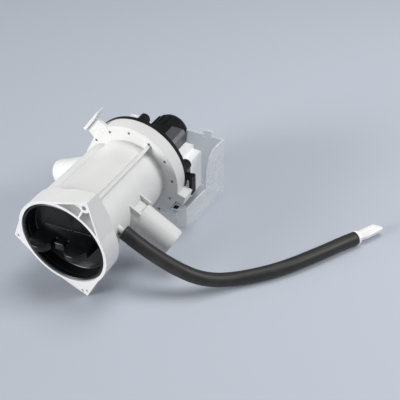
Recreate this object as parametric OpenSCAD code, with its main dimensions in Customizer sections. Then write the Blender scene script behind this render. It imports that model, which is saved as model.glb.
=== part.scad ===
// Washer drain pump: a filter housing with a screw-in filter, a canned
// synchronous motor behind it, a splash cover and an emergency drain hose.
// The origin is the centre of the filter mouth in the front rim plane.
// +Y runs along the pump axis towards the motor, +Z is up as the pump lies.

/* [Mouth and collar] */
// Inner radius of the filter mouth
mouth_r = 38; // [36:0.5:42]
// Wall of the collar round the mouth
collar_wall = 2.7; // [2.2:0.1:4]
// Length of the collar
collar_len = 18; // [17:0.5:24]
// Wall at the back of the collar
collar_back = 3; // [2:0.5:4]

/* [Ears] */
// Direction of the main screw ear
main_ear_angle = 60; // [50:1:70]
// Reach of the main ear beyond the collar
main_ear_reach = 20.1; // [17:0.1:24]
// Depth of the main ear at its corner
main_ear_depth = 12.5; // [10:0.5:16]
// Depth of the pockets in the main ear
ear_pocket = 7; // [4:0.5:7.5]
// Wall of the main ear
ear_wall = 1.6; // [1.2:0.1:2.4]
// Outer radius of the screw boss in the main ear
ear_boss_r = 4.3; // [3.5:0.1:5]
// Radius of the screw hole in the main ear
ear_hole_r = 1.9; // [1.5:0.1:2.4]
// Depth of the screw hole in the main ear
ear_hole_len = 9; // [6:0.5:12]
// Angle of the two small ears either side of the main ear's far side
small_ear_spread = 49; // [44:1:56]
// Thickness of the small ears
small_ear_t = 3; // [2:0.5:5]
// Reach of the left ear beyond the collar
left_ear_reach = 8.2; // [7:0.1:10]
// Reach of the foot ear beyond the collar
foot_ear_reach = 12.6; // [11:0.1:15]
// Radius of the hole in the left ear
left_hole_r = 1.1; // [0.8:0.1:1.3]
// Distance from a small ear's corner to its hole or slots
ear_hole_inset = 4.2; // [3.6:0.1:4.6]

/* [Housing] */
// Outer radius of the filter housing
body_r = 33.2; // [31:0.1:35]
// Wall of the filter housing
body_wall = 2.8; // [2:0.1:3.6]
// Length of the filter housing between collar and flange
body_len = 85.2; // [80:0.1:95]
// Thickness of the long rib on the housing
rib_t = 3; // [1.5:0.1:4]
// Height of the long rib on the housing
rib_h = 2.2; // [1:0.1:4]

/* [Pump chamber] */
// Outer radius of the chamber flange
flange_r = 46.5; // [45:0.5:52]
// Length of the chamber flange
flange_len = 13.3; // [12:0.1:18]
// Wall of the flange rim
flange_wall = 2.5; // [2:0.1:3]
// Wall of the pump chamber
chamber_wall = 4; // [3:0.1:5]
// Depth of the pump chamber
chamber_depth = 18; // [17:0.5:20]
// Thickness of the partition in front of the impeller
partition_t = 2.5; // [2:0.1:4]
// Radius of the inlet eye in the partition
eye_r = 13; // [10:0.5:16]
// Number of small holes in the flange face
face_holes = 13; // [8:1:16]
// Radius of the small holes in the flange face
face_hole_r = 1.3; // [0.6:0.1:1.4]
// Depth of the small holes in the flange face
face_hole_len = 4.5; // [2:0.1:5]
// Radius of the circle of small holes
face_hole_circle = 41.4; // [39:0.1:43]

/* [Spigots] */
// Outer radius of the inlet and outlet spigots
spigot_r = 12.4; // [11:0.1:13]
// Wall of the spigots
spigot_wall = 2.4; // [1.6:0.1:3.2]
// Direction of the inlet spigot
inlet_angle = -30; // [-34:1:-26]
// Distance of the inlet spigot behind the rim
inlet_y = 60; // [58:0.5:70]
// Sideways offset of the inlet spigot from the pump axis
inlet_offset = 13.2; // [11:0.1:15]
// Reach of the inlet spigot from the pump axis
inlet_len = 67.3; // [60:0.1:80]
// Direction of the outlet spigot
outlet_angle = 203; // [196:1:208]
// Distance from the outlet spigot to the flange face
outlet_gap = 17.2; // [15:0.1:24]
// Reach of the outlet spigot from the duct's middle
outlet_len = 41.5; // [36:0.5:50]
// Outer radius of the outlet duct along the housing
duct_r = 16; // [14:0.1:17]
// Wall of the outlet duct
duct_wall = 2.8; // [2:0.1:3.4]
// Distance of the duct's middle from the pump axis
duct_off = 26; // [24:0.1:28]
// Direction of the duct's middle
duct_angle = 165; // [160:1:170]
// Thickness of the two gusset plates on the inlet spigot
gusset_t = 1.6; // [1:0.1:2.4]
// Half the distance between the two gusset plates
gusset_gap = 8.1; // [6:0.1:9]
// Height of the flat between the gusset plates above the spigot's axis
gusset_floor = 9.2; // [8.5:0.1:10]

/* [Filter] */
// Radial gap between the filter cap and the mouth
cap_gap = 0.5; // [0.3:0.1:1]
// Wall of the cap's cup
cup_wall = 3; // [2:0.1:4]
// Thickness of the cap's floor
cup_floor = 2; // [1.5:0.1:3]
// Thickness of the grip blade at its front
grip_t = 5; // [3:0.1:7]
// Thickness of the grip blade at the cap's floor
grip_root_t = 9; // [7:0.1:10]
// Turn of the grip from level when the filter is shut, in degrees
grip_turn = 5.5; // [0:0.5:12]
// Corner radius of the grip's two lobes
lobe_r = 9.5; // [5:0.5:9.5]
// Width of each of the grip's lobes
lobe_w = 20; // [19.5:0.5:22]
// Half the gap between the grip's lobes
lobe_gap = 6.5; // [6:0.5:9]
// How far the grip stands out of the mouth
grip_out = 12.5; // [8:0.5:16]
// Width of the block between the grip's lobes
grip_block_w = 9; // [6:0.5:10]
// Cord radius of the filter seal ring
seal_r = 1.6; // [1.2:0.1:1.8]
// Gap between the filter cage and the bore of the housing
cage_gap = 4; // [3.4:0.1:5.4]
// Wall of the filter cage
cage_wall = 1.8; // [1.2:0.1:2.4]
// Length of the filter cage
cage_len = 62; // [50:1:66]
// Number of slots round the filter cage
cage_slots = 8; // [6:1:10]
// Width of the slots in the filter cage
cage_slot_w = 12; // [8:0.5:12.5]

/* [Impeller] */
// Radius of the impeller's vanes
impeller_r = 23; // [20:0.5:26]
// Number of vanes
vanes = 6; // [4:1:8]
// Thickness of the vanes
vane_t = 2.2; // [1.5:0.1:3]
// Radius of the impeller hub
hub_r = 11; // [10.5:0.1:13]
// Length of the impeller
impeller_len = 12.5; // [11.5:0.1:13]
// Width of the drive dog's tooth and of the hub's stop
tooth_w = 5; // [3:0.5:5.5]

/* [Motor] */
// Thickness of the motor plate
plate_t = 3.5; // [2.5:0.1:5]
// Outer radius of the rotor can
can_r = 17.5; // [17:0.1:18.5]
// Wall of the rotor can
can_wall = 1.8; // [1.4:0.1:2.2]
// Length of the rotor can behind the plate
can_len = 62.5; // [61:0.5:68]
// Radial air gap between the rotor and its can
air_gap = 1.2; // [0.8:0.1:1.6]
// Radius of the rotor shaft
shaft_r = 2.5; // [2:0.1:3]
// Length of the rotor magnet
magnet_len = 30; // [24:0.5:32]
// Distance from the motor plate to the stator core
core_gap = 16; // [14:0.5:18]
// Thickness of the stator core along the shaft
core_t = 22; // [18:0.5:24]
// Width of a leg of the stator core
leg_w = 14; // [12:0.5:15]
// Half the gap between the legs of the stator core
leg_gap = 12; // [11.5:0.1:14]
// Height of the stator core above the shaft
core_top = 20; // [18:0.5:24]
// Height of the stator core's yoke
yoke_h = 11; // [9:0.5:12]
// Thickness of a winding
winding_t = 6; // [4:0.1:6.4]
// Radius of the motor screws
screw_r = 1.5; // [1.2:0.1:1.7]
// Radius of the circle of motor screws
screw_circle = 41.6; // [40.5:0.1:42]
// Height of the screw posts behind the motor plate
post_h = 10; // [6:0.5:12]

/* [Splash cover] */
// Wall of the splash cover
cover_wall = 1.6; // [1.2:0.1:2]
// Least distance from the terminal block to the cover's right wall
cover_side = 10; // [8:0.5:14]
// Least reach of the cover's right wall beyond the flange
cover_reach = 5.5; // [4:0.5:8]
// Distance from the coil cases to the cover's rear wall
cover_back = 5; // [3:0.5:10]
// Height of the rear wall above the shaft
cover_top = 10; // [6:0.5:16]
// Height of the low front walls above the floor
cover_front_h = 23; // [20:0.5:26]
// Radius of the rounded corner of the tall side wall
cover_round = 20; // [10:0.5:24]

/* [Drain hose] */
// Outer radius of the drain hose
hose_r = 6; // [5:0.1:6]
// Bore radius of the drain hose
hose_bore = 3.2; // [2.8:0.1:4]
// Distance of the drain nipple behind the rim
nipple_y = 31.5; // [29:0.5:34]
// Sideways offset of the drain nipple from the pump axis
nipple_offset = 20.4; // [19:0.1:22]
// Reach of the drain nipple from the pump axis
nipple_len = 40; // [36:0.5:44]
// Length of the hose plug outside the hose
plug_len = 28.8; // [24:0.1:32]
// Width of the hose plug's blade
plug_w = 10.5; // [9:0.1:11]
// Length of the hose plug's stem
stem_len = 12; // [8:0.5:16]

/* [Fits] */
// Radial running clearance of the shaft and its bushes
run_gap = 0.05; // [0.02:0.01:0.09]
// Radial gap between pieces that are pushed together
push_gap = 0.1; // [0.05:0.01:0.2]
// Gap between pieces that move past each other
move_gap = 0.6; // [0.4:0.1:0.8]

/* [Hidden] */
$fn = 96;
eps = 0.5;

// Stations along the pump axis
mouth_depth = collar_len - collar_back;
flange_y = collar_len + body_len;
back_y = flange_y + flange_len;
chamber_y = back_y - chamber_depth;
plate_back = back_y + plate_t;
can_end = plate_back + can_len;
core_y = plate_back + core_gap;
core_back = core_y + core_t;
magnet_y = core_y + core_t / 2 - magnet_len / 2;
outlet_y = flange_y - outlet_gap;

// Radii
collar_r = mouth_r + collar_wall;
bore_r = body_r - body_wall;
chamber_r = body_r - chamber_wall;
plate_r = flange_r + 0.5;
can_bore = can_r - can_wall;
magnet_r = can_bore - air_gap;

// Ears
main_ear_r = collar_r + main_ear_reach;
ear_bite = 1;
ear_flat = 1.5;
ear_root = collar_r - ear_bite;
main_ear_half = acos(ear_root / main_ear_r);
ear_boss_at = (ear_root - ear_boss_r - eps) / cos(main_ear_half);
left_ear_angle = main_ear_angle + 180 - small_ear_spread;
foot_ear_angle = main_ear_angle + 180 + small_ear_spread;
foot_ear_r = collar_r + foot_ear_reach;
floor_z = foot_ear_r * sin(foot_ear_angle);
slot_w = 1.3;
slot_len = 3;
slot_pitch = 4.6;

// Outlet duct, hook and lug on the casing
duct_x = duct_off * cos(duct_angle);
duct_z = duct_off * sin(duct_angle);
flange_front_t = 4;
hook_angle = 142;
hook_reach = 8;
hook_root = [5.5, -18];
hook_tip = [2, -15];
hook_bar = [2.5, -24];
hook_bar_t = 2.2;
hook_t = 2.5;
hook_deep = 9;
flat_angle = 150;
flat_in = 2.4;
lug_angle = -15;
lug_half = 4.6;
lug_out = 8;
inlet_root = body_r + 1;
outlet_root = duct_r + 3;
root_step = 0.2;
bevel_len = 2.5;
bevel_in = 0.8;
gusset_top = 12.8;
gusset_n0 = 12;
gusset_n1 = body_r - 1;
throat_r = gusset_floor - spigot_wall;
throat_end = gusset_n1 + spigot_wall;

// Long rib on the housing
rib_foot = 4;
rib_ramp = 10;
rib_rise = 8;
rib_top_in = 4.2;

// Screw-in filter
cap_r = mouth_r - cap_gap;
cap_front = 1.5;
lip_r = 1.2;
notch_y = 2;
block_front = 3.5;
cup_r = cap_r - cup_wall;
cap_back = mouth_depth - move_gap;
cup_y = cap_back - cup_floor;
neck_r = bore_r - cap_gap;
seal_ring_r = bore_r - push_gap - seal_r;
seal_y = collar_len + seal_r + 1;
seal_groove_r = seal_ring_r - seal_r - push_gap;
neck_in = seal_groove_r - 2;
neck_end = seal_y + seal_r + 2;
cage_r = bore_r - cage_gap;
cage_rim = 5;
cage_back_t = 3;
cage_end = neck_end + cage_len;

// Impeller and drive
hub_front_y = back_y - 2;
impeller_back = hub_front_y - 1;
impeller_y = impeller_back - impeller_len;
hub_cup_r = hub_r - 2;
dog_r = hub_cup_r - move_gap;
dog_core_r = shaft_r + 2;
hub_cup_y = impeller_back - 7;
dog_y = hub_cup_y + move_gap;
clip_t = 0.8;
clip_r = shaft_r + 2;
clip_gap = 0.3;
shaft_front = impeller_y - clip_gap - 2 * clip_t;
groove_r = shaft_r - 0.6;

// Bushes, their rubber mounts and the lip seal
bush_wall = 3.5;
mount_wall = 3;
boss_wall = 2;
bush_r = shaft_r + bush_wall;
mount_r = bush_r + mount_wall;
boss_r = mount_r + boss_wall;
bush_len = 8;
seal_len = 3.5;
front_bush_y = hub_front_y + seal_len + 2 * move_gap;
front_boss_end = front_bush_y + bush_len + 1.2;
can_floor = can_end - 2.5;
rear_bush_y = can_floor - bush_len - 1;
shaft_back = can_floor - 0.8;
washer_t = 1;
washer_w = 3;
washer_r = shaft_r + washer_w;
gasket_w = 2;
gasket_t = 1.6;
gasket_in = chamber_r + 1;

// Stator: the coil cases fill the legs between the can and the yoke
core_fit = 0.3;
core_bevel = 4;
leg_out = leg_gap + leg_w;
cover_floor = floor_z + cover_wall;
yoke_z = cover_floor + 1;
coil_top = -(can_r + core_fit) - 1.2;
coil_bottom = yoke_z + yoke_h + core_fit;
case_t = 1.2;
case_grow = case_t + core_fit + winding_t + 2 * push_gap + case_t;
post_r = 4.8;
post_angles = [88, 8, 188, 268];
casing_boss_r = 4.2;
screw_bite = 8;
head_r = 3;
head_h = 2.2;
latch_angle = 0;
latch_w = 3;
latch_reach = 6;
latch_drop = 17;
latch_top = 2;
latch_deep = 7;
can_round = 5;
can_knee = 0.3 * can_round;
can_ribs = 9;
can_rib_step = 20;
can_rib_t = 1.6;
can_rib_h = 1;

// Terminal block and its spades
block_x = leg_out + core_fit;
block_mid = leg_out + case_grow + push_gap;
block_out = block_mid + 7;
block_top = 3.5;
block_high = 8;
block_round = 3;
block_lap = 1;
spade_w = 6.3;
spade_t = 0.8;
spade_len = 8;
spade_pitch = 11;

// Splash cover outline in plan
cover_front = flange_y + 0.5;
cover_right = max(block_out + cover_side, flange_r + cover_reach);
cover_corner = 7.5;
cover_lean = 5.5;
cover_rear = core_back + case_grow + cover_back + cover_wall;
cover_left = -leg_out - case_grow - 6;
cover_high_y = core_y + 6;
shelf_x = 36;
shelf_deep = 9;
tab_in = 14;
tab_x = cover_right - tab_in;
tab_w = 8;
tab_h = 6;
window = 5;
flange_cut = flange_r + 0.4;
can_notch = can_r + can_rib_h + 0.8;

// Drain hose: the route's points on its middle line, from the nipple to the plug
hose_start = 30.2;
nipple_r = hose_bore - 0.8;
nipple_wall = 1;
hose_route = [[36.4, 31.5, 2.6], [46.6, 31.8, -3.6], [58, 33.4, -11.4], [71.3, 35.6, -19.3],
    [83.7, 38.6, -26], [95.1, 43.9, -32.8], [105.3, 51.6, -38.4], [114.9, 60.5, -42], [125, 70.2, -43.8],
    [136.4, 80.8, -44], [147, 92, -44], [157, 104.6, -44], [166.8, 118.5, -44], [176.4, 132.7, -44],
    [185.3, 146.4, -44], [193.6, 158.2, -44]];
hose_sides = 12;
hose_n = len(hose_route);
plug_angle = 55;
plug_end = hose_route[hose_n - 1];
stem_r = hose_bore - 0.4;
plug_flange_t = 2.5;
plug_blade_t = 3.4;
plug_back = 4.6;
plug_heel = 10;
plug_nose = 4.7;
plug_tip = 2.8;
plug_flange_r = hose_r + 0.3;

function polar(r, a) = [r * cos(a), r * sin(a)];

// A straight rod along the pump axis
module rod_y(y0, y1, r) translate([0, y1, 0]) rotate([90, 0, 0]) cylinder(h = y1 - y0, r = r);

// A cone along the pump axis
module cone_y(y0, y1, r0, r1)
    translate([0, y0, 0]) rotate([-90, 0, 0]) cylinder(h = y1 - y0, r1 = r0, r2 = r1);

// A ring along the pump axis
module ring_y(y0, y1, r_in, r_out)
    difference() {
        rod_y(y0, y1, r_out);
        rod_y(y0 - 1, y1 + 1, r_in);
    }

// An outline in XZ made solid between two stations
module plate_y(y0, y1) translate([0, y1, 0]) rotate([90, 0, 0]) linear_extrude(y1 - y0) children();

// Local Z runs outwards along an angle in XZ, at a station on the axis
module outward(y, a) translate([0, y, 0]) rotate([0, 90 - a, 0]) children();

// An outline of radius and station made solid across a radial plane
module radial(a, t) rotate([0, -a, 0]) translate([0, 0, -t / 2]) linear_extrude(t) children();

// A corner ear whose two edges run from a circle to its tip
module ear_outline(a, half, r)
    polygon([[0, 0], polar(r, a - half), polar(r / cos(half), a), polar(r, a + half)]);

module main_ear() {
    wall_in = ear_root - ear_wall;
    difference() {
        plate_y(0, collar_len) ear_outline(main_ear_angle, main_ear_half, ear_root);
        radial(main_ear_angle, 4 * main_ear_r)
            polygon([[collar_r + ear_flat, collar_len], [main_ear_r + 1, main_ear_depth],
                [main_ear_r + 1, collar_len + 1], [collar_r + ear_flat, collar_len + 1]]);
        plate_y(-1, ear_pocket) difference() {
            ear_outline(main_ear_angle, main_ear_half, wall_in);
            circle(collar_r);
            translate(polar(ear_boss_at, main_ear_angle)) circle(ear_boss_r);
            rotate(main_ear_angle) translate([0, -ear_wall / 2]) square([ear_boss_at, ear_wall]);
        }
    }
}

module small_ears() {
    left_r = collar_r + left_ear_reach;
    plate_y(0, small_ear_t) {
        difference() {
            ear_outline(left_ear_angle, acos(ear_root / left_r), ear_root);
            translate(polar(left_r - ear_hole_inset, left_ear_angle)) circle(left_hole_r);
        }
        difference() {
            ear_outline(foot_ear_angle, acos(ear_root / foot_ear_r), ear_root);
            for (s = [-1, 1]) rotate(foot_ear_angle)
                translate([foot_ear_r - ear_hole_inset - slot_len, s * slot_pitch / 2 - slot_w / 2])
                    square([slot_len, slot_w]);
        }
    }
}

module long_rib()
    radial(main_ear_angle, rib_t)
        polygon([[body_r - 1, collar_len - 1], [collar_r + rib_foot, collar_len - 1],
            [body_r + rib_h, collar_len + rib_ramp], [body_r + rib_h, flange_y - rib_rise],
            [flange_r - rib_top_in, flange_y + eps], [body_r - 1, flange_y + eps]]);

module flange_hook() {
    bar_x = flange_r + hook_reach;
    plate_y(flange_y + hook_t, flange_y + 2 * hook_t) rotate(hook_angle)
        polygon([[flange_r - hook_reach, hook_root[0]], [bar_x, hook_tip[0]], [bar_x, hook_tip[1]],
            [flange_r - hook_reach, hook_root[1]]]);
    plate_y(flange_y, flange_y + hook_deep) rotate(hook_angle)
        polygon([[bar_x - eps, hook_bar[0]], [bar_x + hook_bar_t, hook_bar[0]],
            [bar_x + hook_bar_t, hook_bar[1]], [bar_x + 1, hook_bar[1]], [bar_x - eps, hook_tip[1]]]);
}

module inlet_gussets()
    for (s = [-1, 1])
        outward(inlet_y + s * gusset_gap, inlet_angle)
            translate([-inlet_offset - gusset_top, -gusset_t / 2, gusset_n0])
                cube([gusset_top, gusset_t, gusset_n1 - gusset_n0]);

module flange_bosses(y0, y1, r)
    for (a = post_angles)
        translate([screw_circle * cos(a), 0, screw_circle * sin(a)]) rod_y(y0, y1, r);

// A straight spigot with a thicker root and a bevelled end
module spigot(h, root) {
    cylinder(h = root, r = spigot_r + root_step);
    cylinder(h = h - bevel_len, r = spigot_r);
    translate([0, 0, h - bevel_len]) cylinder(h = bevel_len, r1 = spigot_r, r2 = spigot_r - bevel_in);
}

module casing_solid() {
    rod_y(0, collar_len, collar_r);
    main_ear();
    small_ears();
    rod_y(collar_len - 1, flange_y + 1, body_r);
    translate([duct_x, 0, duct_z]) rod_y(collar_len - 1, flange_y + 1, duct_r);
    difference() {
        rod_y(flange_y, back_y, flange_r);
        rotate([0, -flat_angle, 0]) translate([flange_r - flat_in, flange_y - 1, -flange_r])
            cube([flat_in + 1, flange_len + 2, 2 * flange_r]);
        difference() {
            ring_y(flange_y + flange_front_t, back_y + 1, body_r + gasket_w, flange_r - flange_wall);
            flange_bosses(flange_y, back_y + 2, casing_boss_r);
        }
    }
    outward(inlet_y, inlet_angle) translate([-inlet_offset, 0, 0]) difference() {
        spigot(inlet_len, inlet_root);
        translate([-spigot_r - 1, -gusset_gap, gusset_n0])
            cube([spigot_r + 1 - gusset_floor, 2 * gusset_gap, gusset_n1 - gusset_n0 - eps]);
    }
    translate([duct_x, 0, duct_z]) outward(outlet_y, outlet_angle) spigot(outlet_len, outlet_root);
    outward(nipple_y, inlet_angle) translate([-nipple_offset, 0, 0]) {
        cylinder(h = nipple_len, r = nipple_r);
        translate([0, 0, hose_start + 1])
            cylinder(h = nipple_len - hose_start - 3, r = hose_bore + push_gap);
    }
    inlet_gussets();
    long_rib();
    flange_hook();
    rotate([0, -lug_angle, 0]) translate([flange_r - 1, flange_y, -lug_half])
        cube([lug_out + 1, flange_len, 2 * lug_half]);
}

module pump_casing()
    color("whitesmoke") difference() {
        casing_solid();
        rod_y(-1, mouth_depth, mouth_r);
        rod_y(mouth_depth - 1, chamber_y - partition_t, bore_r);
        rod_y(0, chamber_y + 1, eye_r);
        rod_y(chamber_y, back_y + 1, chamber_r);
        ring_y(back_y - gasket_t, back_y + 1, gasket_in, gasket_in + gasket_w);
        // Duct beside the housing, with its way in from the chamber
        difference() {
            translate([duct_x, 0, duct_z])
                rod_y(outlet_y - spigot_r, flange_y + flange_front_t - 2, duct_r - duct_wall);
            rod_y(0, flange_y + flange_len, body_r);
        }
        translate([duct_x, 0, duct_z])
            rod_y(chamber_y + 1, flange_y + flange_front_t - 2, duct_r - 2 * duct_wall);
        // Bores of the spigots and of the drain nipple
        outward(inlet_y, inlet_angle) translate([-inlet_offset, 0, 0]) {
            cylinder(h = throat_end + 1, r = throat_r);
            translate([0, 0, throat_end])
                cylinder(h = inlet_len + 1 - throat_end, r = spigot_r - spigot_wall);
        }
        difference() {
            translate([duct_x, 0, duct_z]) outward(outlet_y, outlet_angle)
                cylinder(h = outlet_len + 1, r = spigot_r - spigot_wall);
            rod_y(0, flange_y + flange_len, body_r);
        }
        outward(nipple_y, inlet_angle) translate([-nipple_offset, 0, 0])
            cylinder(h = nipple_len + 1, r = nipple_r - nipple_wall);
        // Screw hole of the main ear and the small holes in the flange face
        translate([ear_boss_at * cos(main_ear_angle), 0, ear_boss_at * sin(main_ear_angle)])
            rod_y(-1, ear_hole_len, ear_hole_r);
        for (i = [0 : face_holes - 1]) {
            a = main_ear_angle + 1 + 360 * i / face_holes;
            translate([face_hole_circle * cos(a), 0, face_hole_circle * sin(a)])
                rod_y(flange_y - 1, flange_y + face_hole_len, face_hole_r);
        }
        flange_bosses(back_y - screw_bite, back_y + 1, screw_r + push_gap);
    }

// Plan of the grip blade: two rounded lobes with a block in the notch between them
module grip_outline() {
    lobe_back = cap_back - cup_floor / 2;
    for (s = [-1, 1]) {
        for (x = [lobe_gap + lobe_r, lobe_gap + lobe_w - lobe_r])
            translate([s * x, lobe_r - grip_out]) circle(lobe_r);
        translate([s * (lobe_gap + lobe_w / 2) - lobe_w / 2 + lobe_r, -grip_out])
            square([lobe_w - 2 * lobe_r, lobe_back + grip_out]);
        translate([s * (lobe_gap + lobe_w / 2) - lobe_w / 2, lobe_r - grip_out])
            square([lobe_w, lobe_back + grip_out - lobe_r]);
    }
    translate([-lobe_gap - 1, notch_y]) square([2 * lobe_gap + 2, lobe_back - notch_y]);
    translate([-grip_block_w / 2, -block_front]) square([grip_block_w, block_front + notch_y + 1]);
}

// Tapers the grip blade from the cap's floor to its front
module grip_wedge()
    translate([-cup_r, 0, 0]) rotate([90, 0, 90]) linear_extrude(2 * cup_r)
        polygon([[-grip_out - 1, -grip_t / 2], [cap_back, -grip_root_t / 2],
            [cap_back, grip_root_t / 2], [-grip_out - 1, grip_t / 2]]);

module filter_cap()
    color("#1c1c1e") {
        difference() {
            union() {
                rod_y(cap_front, cap_back, cap_r);
                rod_y(cap_back - 1, neck_end, neck_r);
                cone_y(cap_front - lip_r, cap_front, cap_r - lip_r, cap_r);
            }
            rod_y(cap_front - 2 * lip_r, cup_y, cup_r);
            cone_y(cap_front - 2 * lip_r, cap_front, cup_r + 2 * lip_r, cup_r);
            rod_y(cap_back, neck_end + 1, neck_in);
            ring_y(seal_y - seal_r - push_gap, seal_y + seal_r + push_gap, seal_groove_r, neck_r + 1);
        }
        rotate([0, -grip_turn, 0]) intersection() {
            translate([0, 0, -grip_root_t]) linear_extrude(2 * grip_root_t) grip_outline();
            grip_wedge();
            rod_y(-grip_out - 1, cap_back - eps, cup_r + eps);
        }
    }

module filter_seal()
    color("#2b2b2b") translate([0, seal_y, 0]) rotate([90, 0, 0])
        rotate_extrude() translate([seal_ring_r, 0]) circle(seal_r, $fn = 32);

module filter_cage()
    color("#26262a") difference() {
        union() {
            ring_y(neck_end - cage_rim, neck_end + 1,
                neck_in - push_gap - cage_wall, neck_in - push_gap);
            ring_y(neck_end, cage_end, cage_r - cage_wall, cage_r);
            rod_y(cage_end - cage_back_t, cage_end, cage_r);
            ring_y(neck_end, neck_end + 2, neck_in - push_gap - cage_wall, neck_r);
        }
        for (i = [0 : cage_slots - 1])
            rotate([0, (i + 0.5) * 360 / cage_slots, 0])
                translate([-cage_slot_w / 2, neck_end + cage_rim, 0])
                    cube([cage_slot_w, cage_len - 2 * cage_rim, cage_r + 1]);
        rod_y(cage_end - cage_back_t - 1, cage_end + 1, eye_r);
    }

module impeller()
    color("#d8d4c8") difference() {
        union() {
            rod_y(impeller_y, impeller_back, hub_r);
            rod_y(impeller_back - 2, impeller_back, impeller_r - 1);
            for (i = [0 : vanes - 1])
                radial(i * 360 / vanes, vane_t)
                    polygon([[hub_r - 1, impeller_y + 1], [impeller_r, impeller_y + 3],
                        [impeller_r, impeller_back], [hub_r - 1, impeller_back]]);
        }
        rod_y(impeller_y - 1, impeller_back + 1, shaft_r + run_gap);
        difference() {
            rod_y(hub_cup_y, impeller_back + 1, hub_cup_r);
            translate([-tooth_w / 2, hub_cup_y - 1, dog_core_r + move_gap])
                cube([tooth_w, impeller_len, hub_r]);
        }
    }

module drive_dog()
    color("#e6e2d6") difference() {
        union() {
            rod_y(dog_y, impeller_back, dog_core_r);
            translate([-tooth_w / 2, dog_y, -dog_r]) cube([tooth_w, impeller_back - dog_y, dog_r]);
        }
        rod_y(dog_y - 1, impeller_back + 1, shaft_r + push_gap / 2);
    }

module impeller_clip()
    color("silver") difference() {
        ring_y(shaft_front + clip_t / 2, shaft_front + 1.5 * clip_t, groove_r + push_gap, clip_r);
        translate([-groove_r, shaft_front - 1, -clip_r - 1]) cube([2 * groove_r, 4, clip_r + 1]);
    }

module rotor_shaft()
    color("silver") difference() {
        rod_y(shaft_front, shaft_back, shaft_r);
        ring_y(shaft_front + clip_t / 2 - push_gap, shaft_front + 1.5 * clip_t + push_gap, groove_r,
            shaft_r + 1);
    }

module rotor_magnet()
    color("#3a3a3c") ring_y(magnet_y, magnet_y + magnet_len, shaft_r + push_gap / 2, magnet_r);

module thrust_washers()
    color("#e8e8e8") for (y = [magnet_y - washer_t, magnet_y + magnet_len])
        ring_y(y, y + washer_t, shaft_r + run_gap, washer_r);

module bush(y) color("#b08d57") ring_y(y, y + bush_len, shaft_r + run_gap, bush_r);

module bush_mount(y)
    color("#202020") ring_y(y, y + bush_len, bush_r + push_gap / 2, mount_r - push_gap / 2);

module front_bush() bush(front_bush_y);

module front_bush_mount() bush_mount(front_bush_y);

module rear_bush() bush(rear_bush_y);

module rear_bush_mount() bush_mount(rear_bush_y);

module shaft_seal()
    color("#303030") ring_y(hub_front_y + push_gap, hub_front_y + seal_len, shaft_r + run_gap,
        mount_r - push_gap / 2);

module chamber_gasket()
    color("#8a2f22")
        ring_y(back_y - gasket_t, back_y, gasket_in + push_gap, gasket_in + gasket_w - push_gap);

module cover_latch()
    plate_y(back_y + 1, back_y + 1 + latch_deep) {
        rotate(latch_angle) translate([plate_r - 2, -latch_w / 2])
            square([latch_reach + 2, latch_w]);
        translate([plate_r + latch_reach - latch_w, -latch_drop])
            square([latch_w, latch_drop + latch_top]);
    }

module motor_plate()
    color("#1d1e20") difference() {
        union() {
            rod_y(back_y, plate_back, plate_r);
            rod_y(back_y - 1.5, plate_back, chamber_r - push_gap);
            rod_y(hub_front_y, front_boss_end, boss_r);
            difference() {
                union() {
                    rod_y(plate_back - 1, can_end - can_round, can_r);
                    cone_y(can_end - can_round, can_end - can_knee, can_r, can_r - can_knee);
                    cone_y(can_end - can_knee, can_end, can_r - can_knee, can_r - can_round);
                }
                rod_y(plate_back - 2, can_floor, can_bore - can_round / 2);
                rod_y(plate_back - 2, can_end - can_round, can_bore);
            }
            ring_y(rear_bush_y - 1, can_floor + 1, mount_r, boss_r);
            flange_bosses(plate_back - 1, plate_back + post_h, post_r);
            for (i = [0 : can_ribs - 1])
                radial(90 + (i - (can_ribs - 1) / 2) * can_rib_step, can_rib_t)
                    polygon([[can_r - eps, core_back + 1], [can_r + can_rib_h, core_back + 2],
                        [can_r + can_rib_h, can_end - can_round - 2],
                        [can_r - eps, can_end - can_round - 1]]);
            cover_latch();
        }
        rod_y(hub_front_y - 1, front_boss_end - 1, mount_r);
        rod_y(hub_front_y - 1, front_boss_end + 1, bush_r - 1);
        flange_bosses(back_y - 1, plate_back + post_h + 1, screw_r + 0.3);
    }

module motor_screws()
    color("#c0c4c8") {
        flange_bosses(back_y - screw_bite + 1, plate_back + post_h + eps, screw_r);
        difference() {
            flange_bosses(plate_back + post_h, plate_back + post_h + head_h, head_r);
            for (a = post_angles)
                translate([screw_circle * cos(a), 0, screw_circle * sin(a)])
                    for (t = [0, 90]) rotate([0, t, 0])
                        translate([-head_r + 1, plate_back + post_h + head_h - 1, -0.4])
                            cube([2 * head_r - 2, 2, 0.8]);
        }
    }

module stator_core()
    color("#8f9396") difference() {
        plate_y(core_y, core_back) difference() {
            translate([-leg_out, yoke_z]) square([2 * leg_out, core_top - yoke_z]);
            translate([-leg_gap, yoke_z + yoke_h]) square([2 * leg_gap, core_top - yoke_z]);
            circle(can_r + core_fit);
            for (s = [-1, 1])
                translate([s * leg_out, core_top]) rotate(45) square(core_bevel, center = true);
        }
    }

// A box round one leg of the core, grown by a wall on all four sides
module leg_box(s, grow, z0, z1)
    translate([s > 0 ? leg_gap - grow : -leg_out - grow, core_y - grow, z0])
        cube([leg_w + 2 * grow, core_t + 2 * grow, z1 - z0]);

module coil_case(s)
    color("#f2f1ec") difference() {
        leg_box(s, case_grow, coil_bottom, coil_top);
        leg_box(s, core_fit, coil_bottom - 1, coil_top + 1);
        difference() {
            leg_box(s, case_grow - case_t, coil_bottom + case_t, coil_top - case_t);
            leg_box(s, core_fit + case_t, coil_bottom, coil_top);
        }
    }

module winding(s)
    color("#b5652b") difference() {
        leg_box(s, case_grow - case_t - push_gap,
            coil_bottom + case_t + push_gap, coil_top - case_t - push_gap);
        leg_box(s, core_fit + case_t + push_gap, coil_bottom, coil_top);
    }

module left_coil_case() coil_case(-1);

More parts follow.
